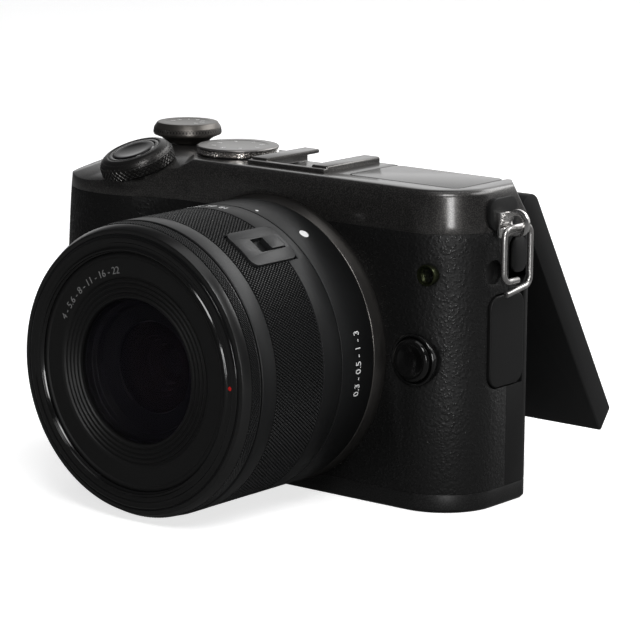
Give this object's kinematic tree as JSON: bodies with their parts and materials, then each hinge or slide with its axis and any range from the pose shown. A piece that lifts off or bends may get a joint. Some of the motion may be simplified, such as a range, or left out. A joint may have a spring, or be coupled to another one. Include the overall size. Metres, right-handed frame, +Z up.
{
  "type": "compact system camera",
  "caption": "Mirrorless camera with a zoom lens, a flip-out rear screen, a pop-up flash, dials, doors and strap rings.",
  "frame": {"origin": "mouth of the tripod socket in the base", "axes": "-Y is the way the lens looks, +X is the side with the jack door, +Z is up"},
  "size_m": [0.1229, 0.1057, 0.0718],
  "materials": {
    "top_metal": "satin gunmetal with fine speckle",
    "base_metal": "satin dark grey",
    "black_shell": "fine matte black",
    "grip_leather": "fine leather grain",
    "rubber": "matte",
    "mount_metal": "satin gunmetal",
    "chrome": "polished",
    "steel": "bright",
    "lens_metal": "satin anodised",
    "gloss_black": "gloss",
    "inner_black": "matte",
    "optical_glass": "coated",
    "lamp": "frosted",
    "dial_metal": "satin, knurled",
    "electronics": "circuit board",
    "cell": "labelled none",
    "screen_plastic": "fine matte",
    "screen_glass": "gloss",
    "brass": "plated"
  },
  "bodies": {
    "body": {"front_cover": "black_shell", "leather_wrap": "grip_leather", "top_cover": "top_metal", "bottom_plate": "base_metal", "rear_cover": "black_shell", "thumb_rest": "rubber", "mount_escutcheon": "mount_metal", "camera_bayonet": "chrome", "mount_screws": "steel", "image_sensor": "optical_glass", "shutter_unit": "inner_black", "main_board": "electronics", "battery": "cell", "battery_box": "inner_black", "tripod_bush": "steel", "hot_shoe": "steel", "shoe_contacts": "brass", "lug_pads": "rubber", "strap_lugs": "chrome", "af_lamp": "lamp", "terminal_sockets": "inner_black", "case_screws": "steel", "lens_rear_barrel": "lens_metal", "lens_bayonet": "chrome", "rear_lens": "optical_glass", "iris_unit": "inner_black"},
    "shutter_button": {"shutter_button": "gloss_black"},
    "front_dial": {"front_dial": "dial_metal"},
    "mode_dial": {"mode_dial": "dial_metal"},
    "exposure_dial": {"exposure_dial": "dial_metal"},
    "power_button": {"power_button": "gloss_black"},
    "control_wheel": {"control_wheel": "dial_metal"},
    "set_button": {"set_button": "gloss_black"},
    "menu_button": {"menu_button": "black_shell"},
    "play_button": {"play_button": "black_shell"},
    "info_button": {"info_button": "black_shell"},
    "movie_button": {"movie_button": "black_shell"},
    "release_button": {"release_button": "gloss_black"},
    "flash_arm": {"flash_arm": "steel"},
    "flash_head": {"flash_head": "top_metal", "flash_window": "lamp"},
    "flash_switch": {"flash_switch": "black_shell"},
    "side_door": {"side_door": "rubber"},
    "port_door": {"port_door": "rubber"},
    "battery_door": {"battery_door": "base_metal"},
    "battery_latch": {"battery_latch": "black_shell"},
    "screen": {"screen_arm": "steel", "screen_shell": "screen_plastic", "screen_bezel": "gloss_black", "screen_glass": "screen_glass"},
    "zoom_ring": {"zoom_ring": "lens_metal", "zoom_plate": "lens_metal"},
    "zoom_lock": {"zoom_lock": "black_shell"},
    "inner_barrel": {"inner_barrel": "gloss_black", "name_ring": "inner_black", "front_lens": "optical_glass"},
    "focus_ring": {"focus_ring": "lens_metal"},
    "strap_ring_right": {"strap_ring_right": "steel"},
    "strap_ring_left": {"strap_ring_left": "steel"}
  },
  "joints": [
    {"name": "shutter_press", "type": "slide", "parent": "body", "child": "shutter_button", "axis": [0.1072, 0.3204, -0.9412], "range_m": [0, 0.0008], "stiffness_N_per_m": 500, "springref_m": -0.0008},
    {"name": "front_dial_turn", "type": "hinge", "parent": "body", "child": "front_dial", "pos_m": [-0.0376, -0.0142, 0.0639], "axis": [-0.1072, -0.3204, 0.9412], "continuous": true},
    {"name": "mode_dial_turn", "type": "hinge", "parent": "body", "child": "mode_dial", "pos_m": [-0.0204, -0.0014, 0.0672], "axis": [0, 0, 1], "continuous": true},
    {"name": "exposure_dial_turn", "type": "hinge", "parent": "body", "child": "exposure_dial", "pos_m": [-0.0402, 0.0047, 0.0672], "axis": [0, 0, 1], "range_deg": [-108, 108]},
    {"name": "power_press", "type": "slide", "parent": "body", "child": "power_button", "axis": [0, 0, -1], "range_m": [0, 0.0004], "stiffness_N_per_m": 400, "springref_m": -0.0004},
    {"name": "control_wheel_turn", "type": "hinge", "parent": "body", "child": "control_wheel", "pos_m": [-0.0455, 0.0146, 0.022], "axis": [0, 1, 0], "continuous": true},
    {"name": "set_press", "type": "slide", "parent": "body", "child": "set_button", "axis": [0, -1, 0], "range_m": [0, 0.0006], "stiffness_N_per_m": 400, "springref_m": -0.0005},
    {"name": "menu_press", "type": "slide", "parent": "body", "child": "menu_button", "axis": [0, -1, 0], "range_m": [0, 0.0006], "stiffness_N_per_m": 400, "springref_m": -0.0005},
    {"name": "play_press", "type": "slide", "parent": "body", "child": "play_button", "axis": [0, -1, 0], "range_m": [0, 0.0006], "stiffness_N_per_m": 400, "springref_m": -0.0005},
    {"name": "info_press", "type": "slide", "parent": "body", "child": "info_button", "axis": [0, -1, 0], "range_m": [0, 0.0006], "stiffness_N_per_m": 400, "springref_m": -0.0005},
    {"name": "movie_press", "type": "slide", "parent": "body", "child": "movie_button", "axis": [0, -1, 0], "range_m": [0, 0.0006], "stiffness_N_per_m": 400, "springref_m": -0.0005},
    {"name": "release_press", "type": "slide", "parent": "body", "child": "release_button", "axis": [0, 1, 0], "range_m": [0, 0.0011], "stiffness_N_per_m": 600, "springref_m": -0.001},
    {"name": "flash_rise", "type": "hinge", "parent": "body", "child": "flash_arm", "pos_m": [0.029, -0.0058, 0.0593], "axis": [1, 0, 0], "range_deg": [0, 75]},
    {"name": "flash_level", "type": "hinge", "parent": "flash_arm", "child": "flash_head", "pos_m": [0.029, 0.0042, 0.0593], "axis": [1, 0, 0], "range_deg": [-75, 0]},
    {"name": "flash_switch_slide", "type": "slide", "parent": "body", "child": "flash_switch", "axis": [0, 0, -1], "range_m": [0, 0.0022], "stiffness_N_per_m": 300, "springref_m": -0.0005},
    {"name": "side_door_open", "type": "hinge", "parent": "body", "child": "side_door", "pos_m": [0.0495, 0.0075, 0.0352], "axis": [0, 0, 1], "range_deg": [0, 110]},
    {"name": "port_door_open", "type": "hinge", "parent": "body", "child": "port_door", "pos_m": [-0.0624, 0.0075, 0.023], "axis": [0, 0, -1], "range_deg": [0, 110]},
    {"name": "battery_door_open", "type": "hinge", "parent": "body", "child": "battery_door", "pos_m": [-0.0269, -0.0046, 0.00095], "axis": [0, -1, 0], "range_deg": [0, 95]},
    {"name": "battery_latch_slide", "type": "slide", "parent": "battery_door", "child": "battery_latch", "axis": [-1, 0, 0], "range_m": [0, 0.0014]},
    {"name": "screen_flip", "type": "hinge", "parent": "body", "child": "screen", "pos_m": [0.0095, 0.0144, 0.0606], "axis": [1, 0, 0], "range_deg": [-30.5, 149.5]},
    {"name": "zoom_turn", "type": "hinge", "parent": "body", "child": "zoom_ring", "pos_m": [0, -0.04, 0.0313], "axis": [0, 1, 0], "range_deg": [0, 100]},
    {"name": "barrel_extend", "type": "slide", "parent": "body", "child": "inner_barrel", "axis": [0, -1, 0], "range_m": [0, 0.02005]},
    {"name": "zoom_lock_slide", "type": "slide", "parent": "zoom_ring", "child": "zoom_lock", "axis": [0, -1, 0], "range_m": [0, 0.003]},
    {"name": "focus_turn", "type": "hinge", "parent": "body", "child": "focus_ring", "pos_m": [0, -0.056, 0.0313], "axis": [0, 1, 0], "continuous": true},
    {"name": "strap_ring_right_swing", "type": "hinge", "parent": "body", "child": "strap_ring_right", "pos_m": [0.0523, 0.0006, 0.05923], "axis": [0, 1, 0], "range_deg": [-90, 5]},
    {"name": "strap_ring_left_swing", "type": "hinge", "parent": "body", "child": "strap_ring_left", "pos_m": [-0.0648, 0.0006, 0.05203], "axis": [0, 1, 0], "range_deg": [-5, 90]}
  ],
  "couplings": [
    {"joint": "flash_level", "follows": "flash_rise", "ratio": -1},
    {"joint": "barrel_extend", "follows": "zoom_turn", "m_per_rad": 0.011459}
  ]
}
